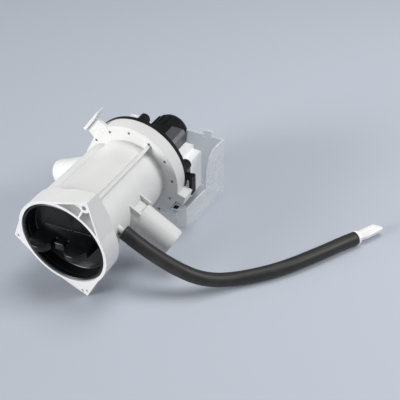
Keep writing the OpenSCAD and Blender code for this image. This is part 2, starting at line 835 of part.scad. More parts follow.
module right_coil_case() coil_case(1);

module left_winding() winding(-1);

module right_winding() winding(1);

// One step of the terminal block, rounded at its upper rear corner
module block_step(x0, x1, z0, z1)
    translate([x0, 0, 0]) rotate([90, 0, 90]) linear_extrude(x1 - x0)
        polygon(concat([[core_y, z0], [core_back, z0]],
            [for (a = [0 : 15 : 90])
                [core_back, z1] + block_round * [cos(a) - 1, sin(a) - 1]],
            [[core_y, z1]]));

module terminal_block()
    color("#f4f3ef") difference() {
        union() {
            block_step(block_x, block_mid - block_lap, coil_top + push_gap, block_high);
            block_step(block_x, block_mid + block_lap, coil_top + push_gap, block_top);
            block_step(block_mid, block_out, coil_bottom, block_top);
        }
        for (i = [0, 1])
            translate([block_mid + 1, core_back - spade_len, coil_top - 4 - i * spade_pitch])
                cube([spade_t + 2 * push_gap, spade_len + 1, spade_w + 2 * push_gap]);
    }

module spade_terminals()
    color("#d9c27a") for (i = [0, 1])
        translate([block_mid + 1 + push_gap, core_back - spade_len + push_gap,
            coil_top - 4 - i * spade_pitch + push_gap])
            cube([spade_t, 2 * spade_len, spade_w]);

// Plan outline of the splash cover, set in by a wall
module cover_plan(inset)
    polygon([[cover_left + inset, cover_front + inset],
        [cover_right - cover_corner - inset / 2, cover_front + inset],
        [cover_right - inset, cover_front + cover_corner * 0.8 + inset / 2],
        [cover_right + cover_lean - inset, cover_rear - inset],
        [cover_left + inset, cover_rear - inset]]);

// Side outline of the splash cover: low in front, tall behind
module cover_side_outline() {
    low = floor_z + cover_front_h;
    difference() {
        union() {
            translate([cover_front - 1, floor_z]) square([cover_rear - cover_front + 2, cover_front_h]);
            translate([cover_high_y, floor_z])
                square([cover_rear - cover_high_y + 1, cover_top - floor_z]);
        }
        difference() {
            translate([cover_high_y - 1, cover_top - cover_round]) square(cover_round + 1);
            translate([cover_high_y + cover_round, cover_top - cover_round]) circle(cover_round);
            translate([cover_high_y - 2, floor_z]) square([cover_round + 2, low - floor_z]);
        }
    }
}

// Shelf along the top of the front panel, with a square snap window
module cover_shelf() {
    top = floor_z + cover_front_h;
    difference() {
        intersection() {
            translate([0, 0, top - cover_wall]) linear_extrude(cover_wall) cover_plan(0);
            translate([shelf_x, cover_front, top - cover_wall - 1])
                cube([cover_right + cover_lean - shelf_x, shelf_deep, cover_wall + 2]);
        }
        rod_y(cover_front - 1, plate_back + 2, flange_cut);
        translate([cover_right - cover_corner - window, cover_front + cover_wall, top - 3])
            cube([window, window, 6]);
    }
}

module splash_cover()
    color("#cfe0f2", 0.5) {
        difference() {
            intersection() {
                difference() {
                    translate([0, 0, floor_z]) linear_extrude(cover_top - floor_z) cover_plan(0);
                    translate([0, 0, cover_floor])
                        linear_extrude(cover_top - floor_z) cover_plan(cover_wall);
                }
                translate([cover_left - 1, 0, 0]) rotate([90, 0, 90])
                    linear_extrude(cover_right + cover_lean - cover_left + 2) cover_side_outline();
            }
            rod_y(cover_front - 1, plate_back + 2, flange_cut);
            // Notch in the rear wall that the rotor can stands through
            plate_y(cover_rear - 2 * cover_wall, cover_rear + 1) {
                circle(can_notch);
                translate([-can_notch, 0]) square([2 * can_notch, cover_top + 1]);
            }
            translate([cover_left - 1, cover_front - 1, floor_z + cover_front_h / 2])
                cube([cover_wall + 2, cover_rear - cover_front - cover_wall, cover_top - floor_z]);
        }
        cover_shelf();
        translate([tab_x, cover_rear - 2 * cover_wall, cover_top - 1])
            cube([tab_w, 2 * cover_wall, tab_h + 1]);
    }

// Unit vectors along, across and above the hose at a ring
function unit(v) = v / norm(v);
function hose_along(i) =
    i == 0 ? [cos(inlet_angle), 0, sin(inlet_angle)] :
    i == hose_n - 1 ? [cos(plug_angle), sin(plug_angle), 0] :
    unit(hose_route[i + 1] - hose_route[i - 1]);
function hose_across(i) = unit(cross(hose_along(i), [0, 0, 1]));
function hose_above(i) = cross(hose_across(i), hose_along(i));
function hose_ring(i, r) =
    [for (j = [0 : hose_sides - 1])
        let (a = 360 * (j + 0.5) / hose_sides)
        hose_route[i] + r * (cos(a) * hose_across(i) + sin(a) * hose_above(i))];

module drain_hose() {
    s = hose_sides;
    shell = hose_n * s;
    points = concat([for (i = [0 : hose_n - 1]) each hose_ring(i, hose_r)],
        [for (i = [0 : hose_n - 1]) each hose_ring(i, hose_bore)]);
    walls = [for (i = [0 : hose_n - 2], j = [0 : s - 1])
        let (a = i * s + j, b = i * s + (j + 1) % s)
        each [[a, b + s, b], [a, a + s, b + s],
            [shell + a, shell + b, shell + b + s], [shell + a, shell + b + s, shell + a + s]]];
    ends = [for (j = [0 : s - 1])
        let (a = j, b = (j + 1) % s, e = (hose_n - 1) * s)
        each [[a, b, shell + b], [a, shell + b, shell + a],
            [e + a, shell + e + b, e + b], [e + a, shell + e + a, shell + e + b]]];
    color("#3f4143") polyhedron(points = points, faces = concat(walls, ends));
}

module hose_plug()
    color("#f3f4f2") translate(plug_end) rotate([0, 0, plug_angle]) {
        translate([-stem_len, 0, 0]) rotate([0, 90, 0]) cylinder(h = stem_len + 1, r = stem_r);
        translate([push_gap, 0, 0]) rotate([0, 90, 0]) cylinder(h = plug_flange_t, r = plug_flange_r);
        translate([0, 0, -plug_blade_t / 2]) linear_extrude(plug_blade_t)
            polygon([[plug_flange_t - 1, 1 - plug_back], [plug_heel, -plug_back],
                [plug_len, -plug_tip], [plug_len, 0], [plug_len - plug_nose, plug_w - plug_back],
                [plug_flange_t - 1, plug_w - plug_back - 1]]);
    }

pump_casing();
filter_cap();
filter_cage();
filter_seal();
impeller();
impeller_clip();
drive_dog();
rotor_shaft();
rotor_magnet();
thrust_washers();
front_bush();
front_bush_mount();
rear_bush();
rear_bush_mount();
shaft_seal();
chamber_gasket();
motor_plate();
motor_screws();
stator_core();
left_coil_case();
right_coil_case();
left_winding();
right_winding();
terminal_block();
spade_terminals();
splash_cover();
drain_hose();
hose_plug();
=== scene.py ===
import math

import bmesh
import bpy
from mathutils import Matrix, Vector


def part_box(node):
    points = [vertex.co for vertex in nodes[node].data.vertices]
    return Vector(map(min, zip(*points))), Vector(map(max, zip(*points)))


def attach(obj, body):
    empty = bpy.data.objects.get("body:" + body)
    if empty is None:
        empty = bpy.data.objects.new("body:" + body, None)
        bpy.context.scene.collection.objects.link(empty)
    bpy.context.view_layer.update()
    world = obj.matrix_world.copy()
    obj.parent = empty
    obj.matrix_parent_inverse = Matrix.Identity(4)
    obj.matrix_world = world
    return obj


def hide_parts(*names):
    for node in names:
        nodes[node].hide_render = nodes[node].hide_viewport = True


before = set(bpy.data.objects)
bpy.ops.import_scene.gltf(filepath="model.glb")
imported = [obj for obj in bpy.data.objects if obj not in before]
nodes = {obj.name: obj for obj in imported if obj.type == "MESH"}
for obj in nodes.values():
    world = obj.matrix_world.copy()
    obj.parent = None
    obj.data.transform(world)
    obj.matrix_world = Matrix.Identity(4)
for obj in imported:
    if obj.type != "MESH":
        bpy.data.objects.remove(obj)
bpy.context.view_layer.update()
scene = bpy.context.scene
mm = 0.001
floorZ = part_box("splash_cover")[0][2]  # the pump lies on its cover and its foot ear
print("frame loaded:", len(nodes), "nodes")


# the photograph's own view, fitted to the mouth, the ears and the flange
photoCamera = {
    "place": (264.0, -287.4, 352.9),  # mm
    "look": (-0.3464, 0.6904, -0.6351),  # direction
    "lens": 59.65,  # mm
    "sensor": 36.0,  # mm
    "clip": (0.02, 20.0),  # metres
}
cameraData = bpy.data.cameras.new("photoCamera")
cameraData.lens = photoCamera["lens"]
cameraData.sensor_width = photoCamera["sensor"]
cameraData.clip_start, cameraData.clip_end = photoCamera["clip"]
camera = bpy.data.objects.new("photoCamera", cameraData)
camera.location = Vector(photoCamera["place"]) * mm
camera.rotation_mode = "QUATERNION"
camera.rotation_quaternion = Vector(photoCamera["look"]).to_track_quat("-Z", "Y")
scene.collection.objects.link(camera)
scene.camera = camera
scene.view_settings.view_transform = "Standard"
print("camera placed")


creases = {"eased": 30.0, "kept": 40.0}  # degrees between two faces
mergeDistance = 0.001 * mm


def sharpEdges(edges, degrees):
    limit = math.radians(degrees)
    return [edge for edge in edges if len(edge.link_faces) == 2 and edge.calc_face_angle() > limit]


def edgesOf(faces):
    return list(dict.fromkeys(edge for face in faces for edge in face.edges))


def easeEdges(shape, edges, offset, segments=2):
    bmesh.ops.bevel(shape, geom=sharpEdges(edges, creases["eased"]), offset=offset * mm, offset_type="OFFSET",
                    segments=segments, profile=0.5, affect="EDGES", clamp_overlap=True, material=-1)


# a turned form about the Y axis, from an outline of (radius, station) in mm
def turnForm(shape, outline, steps, ease):
    ring = [shape.verts.new((radius * mm, station * mm, 0.0)) for radius, station in outline]
    line = [shape.edges.new(pair) for pair in zip(ring, ring[1:])]
    bmesh.ops.spin(shape, geom=ring + line, cent=(0, 0, 0), axis=(0, 1, 0), angle=2 * math.pi,
                   steps=steps, use_merge=True)
    bmesh.ops.remove_doubles(shape, verts=shape.verts, dist=mergeDistance)
    bmesh.ops.dissolve_degenerate(shape, edges=shape.edges, dist=mergeDistance)
    bmesh.ops.recalc_face_normals(shape, faces=shape.faces)
    easeEdges(shape, shape.edges, ease)


# a flat plate about z = 0 from an outline in mm; the corners numbered in rounded are struck to a radius
def pressPlate(shape, outline, thick, rounded=(), radius=0.0, arcSteps=10):
    before = set(shape.verts)
    corners = [shape.verts.new((x * mm, y * mm, -thick / 2 * mm)) for x, y in outline]
    face = shape.faces.new(corners)
    if rounded:
        bmesh.ops.bevel(shape, geom=[corners[i] for i in rounded], offset=radius * mm, offset_type="OFFSET",
                        segments=arcSteps, profile=0.5, affect="VERTICES", material=-1)
        face = [vert for vert in shape.verts if vert not in before][0].link_faces[0]
    raised = bmesh.ops.extrude_face_region(shape, geom=[face])["geom"]
    upper = [item for item in raised if isinstance(item, bmesh.types.BMVert)]
    bmesh.ops.translate(shape, vec=(0, 0, thick * mm), verts=upper)
    faces = [face for face in shape.faces if not before.intersection(face.verts)]
    bmesh.ops.recalc_face_normals(shape, faces=faces)
    return faces


# a finished shape becomes a piece: smooth faces, with the sharper creases kept
def makePiece(name, shape, body):
    for face in shape.faces:
        face.smooth = True
    for edge in sharpEdges(shape.edges, creases["kept"]):
        edge.smooth = False
    data = bpy.data.meshes.new(name)
    shape.to_mesh(data)
    shape.free()
    piece = bpy.data.objects.new(name, data)
    scene.collection.objects.link(piece)
    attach(piece, body)
    return piece


# push-in plug: barbed stem, round flange and a six-sided pull blade with a sunk panel on both faces
plugSizes = {
    "end": (193.6, 158.2, -44.0),  # mm, where the hose ends
    "turn": -35.0,  # degrees about Z, from the Y axis that it is made along
    "turned": [(0, -12), (2.2, -12), (2.75, -11.3), (2.75, -9.2), (3.05, -8.7), (3.05, -8.1), (2.75, -7),
               (2.75, -5.2), (3.05, -4.7), (3.05, -4.1), (2.75, -3), (2.75, 0.1), (5.8, 0.1), (6.3, 0.6),
               (6.3, 2.1), (5.8, 2.6), (0, 2.6)],
    "turnedSteps": 48,
    "turnedEase": 0.25,
    "blade": [(-4.9, 1.5), (3.6, 1.5), (4.6, 10.0), (2.8, 28.8), (0.0, 28.8), (-5.9, 24.1)],
    "bladeThick": 3.4,
    "bladeEase": 0.3,
    "panelRim": 1.3,
    "panelSlope": 0.35,
    "panelDepth": 0.9,
}
plugShape = bmesh.new()
turnForm(plugShape, plugSizes["turned"], plugSizes["turnedSteps"], plugSizes["turnedEase"])
bladeFaces = pressPlate(plugShape, plugSizes["blade"], plugSizes["bladeThick"])
easeEdges(plugShape, edgesOf(bladeFaces), plugSizes["bladeEase"])
panels = sorted(plugShape.faces, key=lambda face: face.calc_area())[-2:]  # the blade's two broad faces
for inset, depth in ((plugSizes["panelRim"], 0.0), (plugSizes["panelSlope"], -plugSizes["panelDepth"])):
    bmesh.ops.inset_region(plugShape, faces=panels, thickness=inset * mm, depth=depth * mm,
                           use_even_offset=True)
plugTurn = Matrix.Rotation(math.radians(plugSizes["turn"]), 4, "Z")
plugPlace = Matrix.Translation(Vector(plugSizes["end"]) * mm) @ plugTurn
bmesh.ops.transform(plugShape, matrix=plugPlace, verts=plugShape.verts)
hosePlug = makePiece("hosePlug", plugShape, "hose_plug")
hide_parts("hose_plug")
print("hose plug made")

# emergency drain hose: a rubber tube that drops from the nipple and lies on the floor
drainHose = {
    "route": [(36.4, 31.5, 2.6), (46.6, 31.8, -3.6), (58, 33.4, -11.4), (71.3, 35.6, -19.3),
              (83.7, 38.6, -26), (95.1, 43.9, -32.8), (105.3, 51.6, -38.4), (114.9, 60.5, -42),
              (125, 70.2, -43.8), (136.4, 80.8, -44), (147, 92, -44), (157, 104.6, -44),
              (166.8, 118.5, -44), (176.4, 132.7, -44), (185.3, 146.4, -44),
              plugSizes["end"]],  # mm, from the nipple to the plug
    "radius": 6.0,
    "wall": 2.8,
    "length": 0.224,  # metres
    "stepsAlong": 6,
    "stepsRound": 8,
}
hoseCurve = bpy.data.curves.new("drainHose", "CURVE")
hoseCurve.dimensions = "3D"
hoseCurve.resolution_u = drainHose["stepsAlong"]
hoseCurve.bevel_depth = 1.0  # each point's radius carries the size
hoseCurve.bevel_resolution = drainHose["stepsRound"]
hoseLine = hoseCurve.splines.new("BEZIER")
hoseLine.bezier_points.add(len(drainHose["route"]) - 1)
for point, spot in zip(hoseLine.bezier_points, drainHose["route"]):
    point.co = Vector(spot) * mm
    point.radius = drainHose["radius"] * mm
    point.handle_left_type = point.handle_right_type = "AUTO"
hose = bpy.data.objects.new("drainHose", hoseCurve)
scene.collection.objects.link(hose)
hoseWall = hose.modifiers.new("hoseWall", "SOLIDIFY")
hoseWall.thickness = drainHose["wall"] * mm
hoseWall.offset = -1.0  # inwards
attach(hose, "pump")
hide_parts("drain_hose")
print("drain hose laid")

# screw cap of the filter: rounded lip, a ledge below it, a filleted cup and the two-lobed grip
capSizes = {
    "turned": [(0, 12.4), (32.9, 12.4), (33.7, 12.2), (34.3, 11.6), (34.5, 10.8), (34.5, 4.6), (34.9, 4.2),
               (34.9, 2.6), (35.05, 1.7), (35.45, 0.9), (36.05, 0.45), (36.65, 0.6), (37.1, 1.1),
               (37.4, 1.9), (37.5, 2.9), (37.5, 14.4), (29.9, 14.4), (29.9, 18.9), (27.1, 18.9),
               (27.1, 22.3), (29.9, 22.3), (29.9, 24.2), (25.1, 24.2), (25.1, 14.4), (0, 14.4)],
    "turnedSteps": 144,
    "turnedEase": 0.3,
    "grip": [(-26.5, 13.4), (-26.5, -12.5), (-6.5, -12.5), (-6.5, 2), (-4.5, 2), (-4.5, -3.5), (4.5, -3.5),
             (4.5, 2), (6.5, 2), (6.5, -12.5), (26.5, -12.5), (26.5, 13.4)],
    "lobes": (1, 2, 9, 10),  # corners of the grip's outline
    "lobeRadius": 9.5,
    "frontThick": 5.0,
    "frontY": -13.5,
    "rootThick": 9.0,
    "rootY": 14.4,
    "gripTurn": -5.5,  # degrees about Y
    "gripEase": 0.75,
    "gripEaseSteps": 3,
}
capShape = bmesh.new()
turnForm(capShape, capSizes["turned"], capSizes["turnedSteps"], capSizes["turnedEase"])
unitThick = 1.0  # mm, drawn out below to the grip's taper
gripFaces = pressPlate(capShape, capSizes["grip"], unitThick, capSizes["lobes"], capSizes["lobeRadius"])
gripVerts = list({vert for face in gripFaces for vert in face.verts})
taper = (capSizes["rootThick"] - capSizes["frontThick"]) / (capSizes["rootY"] - capSizes["frontY"])
for vert in gripVerts:
    vert.co.z *= capSizes["frontThick"] + taper * (vert.co.y / mm - capSizes["frontY"])
gripTurn = Matrix.Rotation(math.radians(capSizes["gripTurn"]), 3, "Y")
bmesh.ops.rotate(capShape, verts=gripVerts, cent=(0, 0, 0), matrix=gripTurn)
easeEdges(capShape, edgesOf(gripFaces), capSizes["gripEase"], capSizes["gripEaseSteps"])
filterCap = makePiece("filterCap", capShape, "filter")
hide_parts("filter_cap")
print("filter cap made")

# snap nib that holds the cover's shelf, on an arm from the motor plate
nibSizes = {
    "outline": [(105.7, -32.2), (119.8, -32.2), (119.8, -22.5), (116.8, -22.5), (116.8, -29.8),
                (109.9, -29.8), (109.9, -27.1), (106.6, -27.1), (105.7, -28.0)],  # mm, in Y and Z
    "middle": 42.0,  # mm, in X
    "wide": 4.2,
    "ease": 0.3,
}
nibShape = bmesh.new()
nibFaces = pressPlate(nibShape, nibSizes["outline"], nibSizes["wide"])
easeEdges(nibShape, edgesOf(nibFaces), nibSizes["ease"])
nibPlace = Matrix(((0, 0, 1, nibSizes["middle"] * mm), (1, 0, 0, 0), (0, 1, 0, 0), (0, 0, 0, 1)))
bmesh.ops.transform(nibShape, verts=nibShape.verts, matrix=nibPlace)
snapNib = makePiece("snapNib", nibShape, "pump")
print("snap nib made")


# colours are written as sRGB hex and handed over as linear
def linear(hexText):
    parts = [int(hexText[i:i + 2], 16) / 255 for i in (1, 3, 5)]
    return [c / 12.92 if c <= 0.04045 else ((c + 0.055) / 1.055) ** 2.4 for c in parts] + [1.0]


# one node with its settings and links; a key that is a socket's name or number sets that socket
def addNode(tree, kind, settings, links=None):
    node = tree.nodes.new(kind)
    for key, value in settings.items():
        if key == "stops":  # places and colours along a ramp
            for stop, (spot, colour) in zip(node.color_ramp.elements, value):
                stop.position = spot
                stop.color = linear(colour)
        elif isinstance(key, int) or key in node.inputs:
            node.inputs[key].default_value = value
        else:
            setattr(node, key, value)
    for key, source in (links or {}).items():
        tree.links.new(source, node.inputs[key])
    return node


def startMaterial(name, colour, roughness, ior=1.5, metallic=0.0):
    material = bpy.data.materials.new(name)
    material.use_nodes = True
    tree = material.node_tree
    shader = tree.nodes["Principled BSDF"]
    shader.inputs["Base Color"].default_value = linear(colour)
    shader.inputs["Roughness"].default_value = roughness
    shader.inputs["IOR"].default_value = ior
    shader.inputs["Metallic"].default_value = metallic
    place = addNode(tree, "ShaderNodeTexCoord", {}).outputs["Object"]
    return material, tree, shader, place


def perMetre(sizeInMm):
    return 1.0 / (sizeInMm * mm)


# a wave texture repeats after 2 pi / 20 of its own units
def waveScale(pitchInMm):
    return perMetre(pitchInMm) * 2 * math.pi / 20


noiseSpan = {"From Min": 0.3, "From Max": 0.7}  # where most of a noise texture's values lie
reliefDepth = 0.1 * mm


# the normal rounded at edges, and a share that grows from 0 on the flat to most at an edge
def nearEdge(tree, radius, samples, cosines, most):
    rounded = addNode(tree, "ShaderNodeBevel", {"samples": samples, "Radius": radius * mm}).outputs["Normal"]
    facing = addNode(tree, "ShaderNodeNewGeometry", {}).outputs["Normal"]
    turned = addNode(tree, "ShaderNodeVectorMath", {"operation": "DOT_PRODUCT"}, {0: rounded, 1: facing})
    share = addNode(tree, "ShaderNodeMapRange",
                    {"From Min": cosines[0], "From Max": cosines[1], "To Min": 0.0, "To Max": most},
                    {"Value": turned.outputs["Value"]})
    return rounded, share.outputs["Result"]


# moulded plastic: two close tones in soft clouds, a fine spark-eroded grain and slightly rounded edges; the
# edges are drawn in a lighter colour, partly edge wear and partly a painted highlight
plasticLook = {"cloudSpan": (0.3, 0.7), "edgeSamples": 6, "edgeCosines": (0.98, 0.75)}


def mouldedPlastic(name, spec):
    material, tree, shader, place = startMaterial(name, spec["colour"], spec["roughness"], spec["ior"])
    shader.inputs["Specular IOR Level"].default_value = spec.get("gloss", 0.5)
    clouds = addNode(tree, "ShaderNodeTexNoise", {"Scale": perMetre(spec["cloudMm"]), "Detail": 3.0},
                     {"Vector": place})
    tones = list(zip(plasticLook["cloudSpan"], (spec["colour"], spec["second"])))
    tone = addNode(tree, "ShaderNodeValToRGB", {"stops": tones}, {"Fac": clouds.outputs["Fac"]})
    rounded, edge = nearEdge(tree, spec["edgeMm"], plasticLook["edgeSamples"], plasticLook["edgeCosines"],
                             spec["wearAndHighlightShare"])
    # edges take a lighter colour: partly wear, partly a painted highlight along each edge
    wearAndHighlightTone = addNode(tree, "ShaderNodeMix", {"data_type": "RGBA", 7: linear(spec["wearAndHighlightTone"])},
                   {0: edge, 6: tone.outputs["Color"]})
    tree.links.new(wearAndHighlightTone.outputs[2], shader.inputs["Base Color"])
    polish = addNode(tree, "ShaderNodeTexNoise",
                     {"Scale": perMetre(spec["polishMm"]), "Detail": 4.0, "Roughness": 0.6},
                     {"Vector": place})
    sheen = addNode(tree, "ShaderNodeMapRange",
                    {**noiseSpan, "To Min": spec["roughness"] - spec["polish"],
                     "To Max": spec["roughness"] + spec["polish"]},
                    {"Value": polish.outputs["Fac"]})
    tree.links.new(sheen.outputs["Result"], shader.inputs["Roughness"])
    # a real grain is near 0.05 mm and is drawn at ten times that or more to show
    grain = addNode(tree, "ShaderNodeTexNoise", {"Scale": perMetre(spec["grainMm"]), "Detail": 2.0},
                    {"Vector": place})
    bump = addNode(tree, "ShaderNodeBump", {"Strength": spec["grain"], "Distance": reliefDepth},
                   {"Height": grain.outputs["Fac"], "Normal": rounded})
    tree.links.new(bump.outputs["Normal"], shader.inputs["Normal"])
    return material


# talc-filled polypropylene, moulded in a satin tool: near white, soft broad highlights
polypropyleneWhite = mouldedPlastic("polypropyleneWhite", {
    "colour": "#dededc", "second": "#d7d7d5", "wearAndHighlightTone": "#eeeeec", "wearAndHighlightShare": 0.6,
    "roughness": 0.4, "polish": 0.05, "polishMm": 14.0, "ior": 1.49,
    "cloudMm": 26.0, "grainMm": 0.9, "grain": 0.1, "edgeMm": 0.5,
})
# glossy black polypropylene of the filter cap, wiped by hands so the polish is uneven
polypropyleneBlack = mouldedPlastic("polypropyleneBlack", {
    "colour": "#0f1012", "second": "#151618", "wearAndHighlightTone": "#2c2d31", "wearAndHighlightShare": 0.4,
    "roughness": 0.24, "polish": 0.04, "polishMm": 9.0, "ior": 1.5, "gloss": 0.3,
    "cloudMm": 18.0, "grainMm": 0.8, "grain": 0.03, "edgeMm": 0.3,
})
# the same plastic on the lint cage, matt from wear by water and grit
cageBlack = mouldedPlastic("cageBlack", {
    "colour": "#17181a", "second": "#222326", "wearAndHighlightTone": "#3d3f42", "wearAndHighlightShare": 0.5,
    "roughness": 0.5, "polish": 0.1, "polishMm": 7.0, "ior": 1.5,
    "cloudMm": 12.0, "grainMm": 0.8, "grain": 0.2, "edgeMm": 0.4,
})
# glass-filled PBT of the motor plate and can: black with a grey bloom of fibres at the surface
glassFilledBlack = mouldedPlastic("glassFilledBlack", {
    "colour": "#0b0b0c", "second": "#111113", "wearAndHighlightTone": "#2c2d30", "wearAndHighlightShare": 0.45,
    "roughness": 0.4, "polish": 0.08, "polishMm": 5.0, "ior": 1.55, "gloss": 0.18,
    "cloudMm": 9.0, "grainMm": 0.7, "grain": 0.12, "edgeMm": 0.5,
})
# natural PA66 of the coil cases and the terminal block: bright white, a little waxy
polyamideWhite = mouldedPlastic("polyamideWhite", {
    "colour": "#fafaf9", "second": "#f4f4f2", "wearAndHighlightTone": "#fdfdfc", "wearAndHighlightShare": 0.5,
    "roughness": 0.36, "polish": 0.05, "polishMm": 10.0, "ior": 1.53,
    "cloudMm": 15.0, "grainMm": 0.8, "grain": 0.1, "edgeMm": 0.5,
})
# soft polyethylene of the hose plug: milky white with a warm shade
polyethyleneWhite = mouldedPlastic("polyethyleneWhite", {
    "colour": "#f9f8f6", "second": "#f2f0ee", "wearAndHighlightTone": "#fdfcfb", "wearAndHighlightShare": 0.4,
    "roughness": 0.38, "polish": 0.05, "polishMm": 6.0, "ior": 1.51,
    "cloudMm": 8.0, "grainMm": 0.7, "grain": 0.08, "edgeMm": 0.3,
})
# polypropylene of the impeller: pale warm grey, satin
impellerGrey = mouldedPlastic("impellerGrey", {
    "colour": "#d2cfc5", "second": "#c5c2b7", "wearAndHighlightTone": "#e3e1da", "wearAndHighlightShare": 0.5,
    "roughness": 0.4, "polish": 0.07, "polishMm": 6.0, "ior": 1.49,
    "cloudMm": 8.0, "grainMm": 0.7, "grain": 0.15, "edgeMm": 0.4,
})
# acetal of the drive dog: cream and slippery
acetalCream = mouldedPlastic("acetalCream", {
    "colour": "#e6dcc0", "second": "#dacfb1", "wearAndHighlightTone": "#f0e8d2", "wearAndHighlightShare": 0.4,
    "roughness": 0.32, "polish": 0.05, "polishMm": 4.0, "ior": 1.48,
    "cloudMm": 5.0, "grainMm": 0.6, "grain": 0.1, "edgeMm": 0.3,
})
# PTFE of the thrust washers: chalky white
ptfeWhite = mouldedPlastic("ptfeWhite", {
    "colour": "#efefec", "second": "#e6e6e2", "wearAndHighlightTone": "#f7f7f5", "wearAndHighlightShare": 0.3,
    "roughness": 0.5, "polish": 0.05, "polishMm": 3.0, "ior": 1.38,
    "cloudMm": 4.0, "grainMm": 0.5, "grain": 0.1, "edgeMm": 0.2,
})
print("plastics ready")


# matt rubber: a dusty bloom in patches and fine pits, which are drawn coarser to show
rubberLook = {"ior": 1.52, "bloomSpan": (0.35, 0.72), "polish": 0.07}


def mattRubber(name, spec):
    material, tree, shader, place = startMaterial(name, spec["colour"], spec["roughness"], rubberLook["ior"])
    bloom = addNode(tree, "ShaderNodeTexNoise",
                    {"Scale": perMetre(spec["bloomMm"]), "Detail": 5.0, "Roughness": 0.65}, {"Vector": place})
    tones = list(zip(rubberLook["bloomSpan"], (spec["colour"], spec["bloom"])))
    tone = addNode(tree, "ShaderNodeValToRGB", {"stops": tones}, {"Fac": bloom.outputs["Fac"]})
    tree.links.new(tone.outputs["Color"], shader.inputs["Base Color"])
    sheen = addNode(tree, "ShaderNodeMapRange",
                    {**noiseSpan, "To Min": spec["roughness"] - rubberLook["polish"],
                     "To Max": spec["roughness"] + rubberLook["polish"]},
                    {"Value": bloom.outputs["Fac"]})
    tree.links.new(sheen.outputs["Result"], shader.inputs["Roughness"])
    pits = addNode(tree, "ShaderNodeTexNoise", {"Scale": perMetre(spec["pitMm"]), "Detail": 3.0},
                   {"Vector": place})
    bump = addNode(tree, "ShaderNodeBump", {"Strength": spec["pits"], "Distance": reliefDepth},
                   {"Height": pits.outputs["Fac"]})
    tree.links.new(bump.outputs["Normal"], shader.inputs["Normal"])
    return material


# extruded EPDM of the drain hose: charcoal with a grey bloom and a soft shine along its top
epdmHose = mattRubber("epdmHose", {
    "colour": "#1b1a19", "bloom": "#2b2927", "roughness": 0.5, "bloomMm": 11.0, "pitMm": 0.9, "pits": 0.12,
})
# moulded EPDM of the seals and the bush mounts: near black
epdmSeal = mattRubber("epdmSeal", {
    "colour": "#1d1d1e", "bloom": "#2b2b2c", "roughness": 0.5, "bloomMm": 5.0, "pitMm": 0.6, "pits": 0.2,
})
# silicone rubber of the chamber gasket: brick red
siliconeGasket = mattRubber("siliconeGasket", {
    "colour": "#7d2b20", "bloom": "#93402f", "roughness": 0.48, "bloomMm": 5.0, "pitMm": 0.6, "pits": 0.2,
})
print("rubbers ready")


# bare metal or ceramic: one pattern in two tones, and where shine is given the roughness follows it
def twoTone(name, spec):
    material, tree, shader, place = startMaterial(name, spec["colour"], spec["roughness"],
                                                  metallic=spec["metallic"])
    pattern = addNode(tree, spec["texture"], spec["settings"], {"Vector": place}).outputs[spec["output"]]
    tone = addNode(tree, "ShaderNodeValToRGB", {"stops": spec["tones"]}, {"Fac": pattern})
    tree.links.new(tone.outputs["Color"], shader.inputs["Base Color"])
    if "shine" in spec:
        smoothest, roughest = spec["shine"]
        shade = addNode(tree, "ShaderNodeMapRange", {"To Min": smoothest, "To Max": roughest},
                        {"Value": pattern})
        tree.links.new(shade.outputs["Result"], shader.inputs["Roughness"])
    return material


# zinc-plated steel: bright grey with faint blue passivation clouds
zincSteel = twoTone("zincSteel", {
    "colour": "#c3c7cb", "roughness": 0.28, "metallic": 1.0, "shine": (0.2, 0.38),
    "texture": "ShaderNodeTexNoise", "settings": {"Scale": perMetre(4.0), "Detail": 4.0}, "output": "Fac",
    "tones": ((0.0, "#aeb3b9"), (1.0, "#d6d8d8")),
})
# hard ferrite of the rotor: dark grey ceramic with a fine sintered speckle
ferriteGrey = twoTone("ferriteGrey", {
    "colour": "#3a3b3d", "roughness": 0.5, "metallic": 0.0,
    "texture": "ShaderNodeTexVoronoi", "settings": {"Scale": perMetre(0.8)}, "output": "Distance",
    "tones": ((0.0, "#2c2d2f"), (1.0, "#48494b")),
})
# oil-filled sintered bronze of the bushes: brown gold with open pores
sinteredBronze = twoTone("sinteredBronze", {
    "colour": "#a8824a", "roughness": 0.42, "metallic": 1.0,
    "texture": "ShaderNodeTexVoronoi", "settings": {"Scale": perMetre(0.5)}, "output": "Distance",
    "tones": ((0.0, "#6f5327"), (0.4, "#b48f55")),
})
# enamelled copper of the windings: orange brown wires side by side, drawn at 1 mm to show
copperWire = twoTone("copperWire", {
    "colour": "#a4572a", "roughness": 0.3, "metallic": 1.0,
    "texture": "ShaderNodeTexWave", "output": "Fac",
    "settings": {"wave_type": "BANDS", "bands_direction": "Z", "Scale": waveScale(1.0)},
    "tones": ((0.0, "#6d3215"), (1.0, "#b9683a")),
})
# tinned brass of the spade terminals: soft silver with a warm cast where the tin is thin
tinnedBrass = twoTone("tinnedBrass", {
    "colour": "#cfcdc4", "roughness": 0.3, "metallic": 1.0,
    "texture": "ShaderNodeTexNoise", "settings": {"Scale": perMetre(2.5), "Detail": 4.0}, "output": "Fac",
    "tones": ((0.0, "#c6b98e"), (1.0, "#d5d4cf")),
})

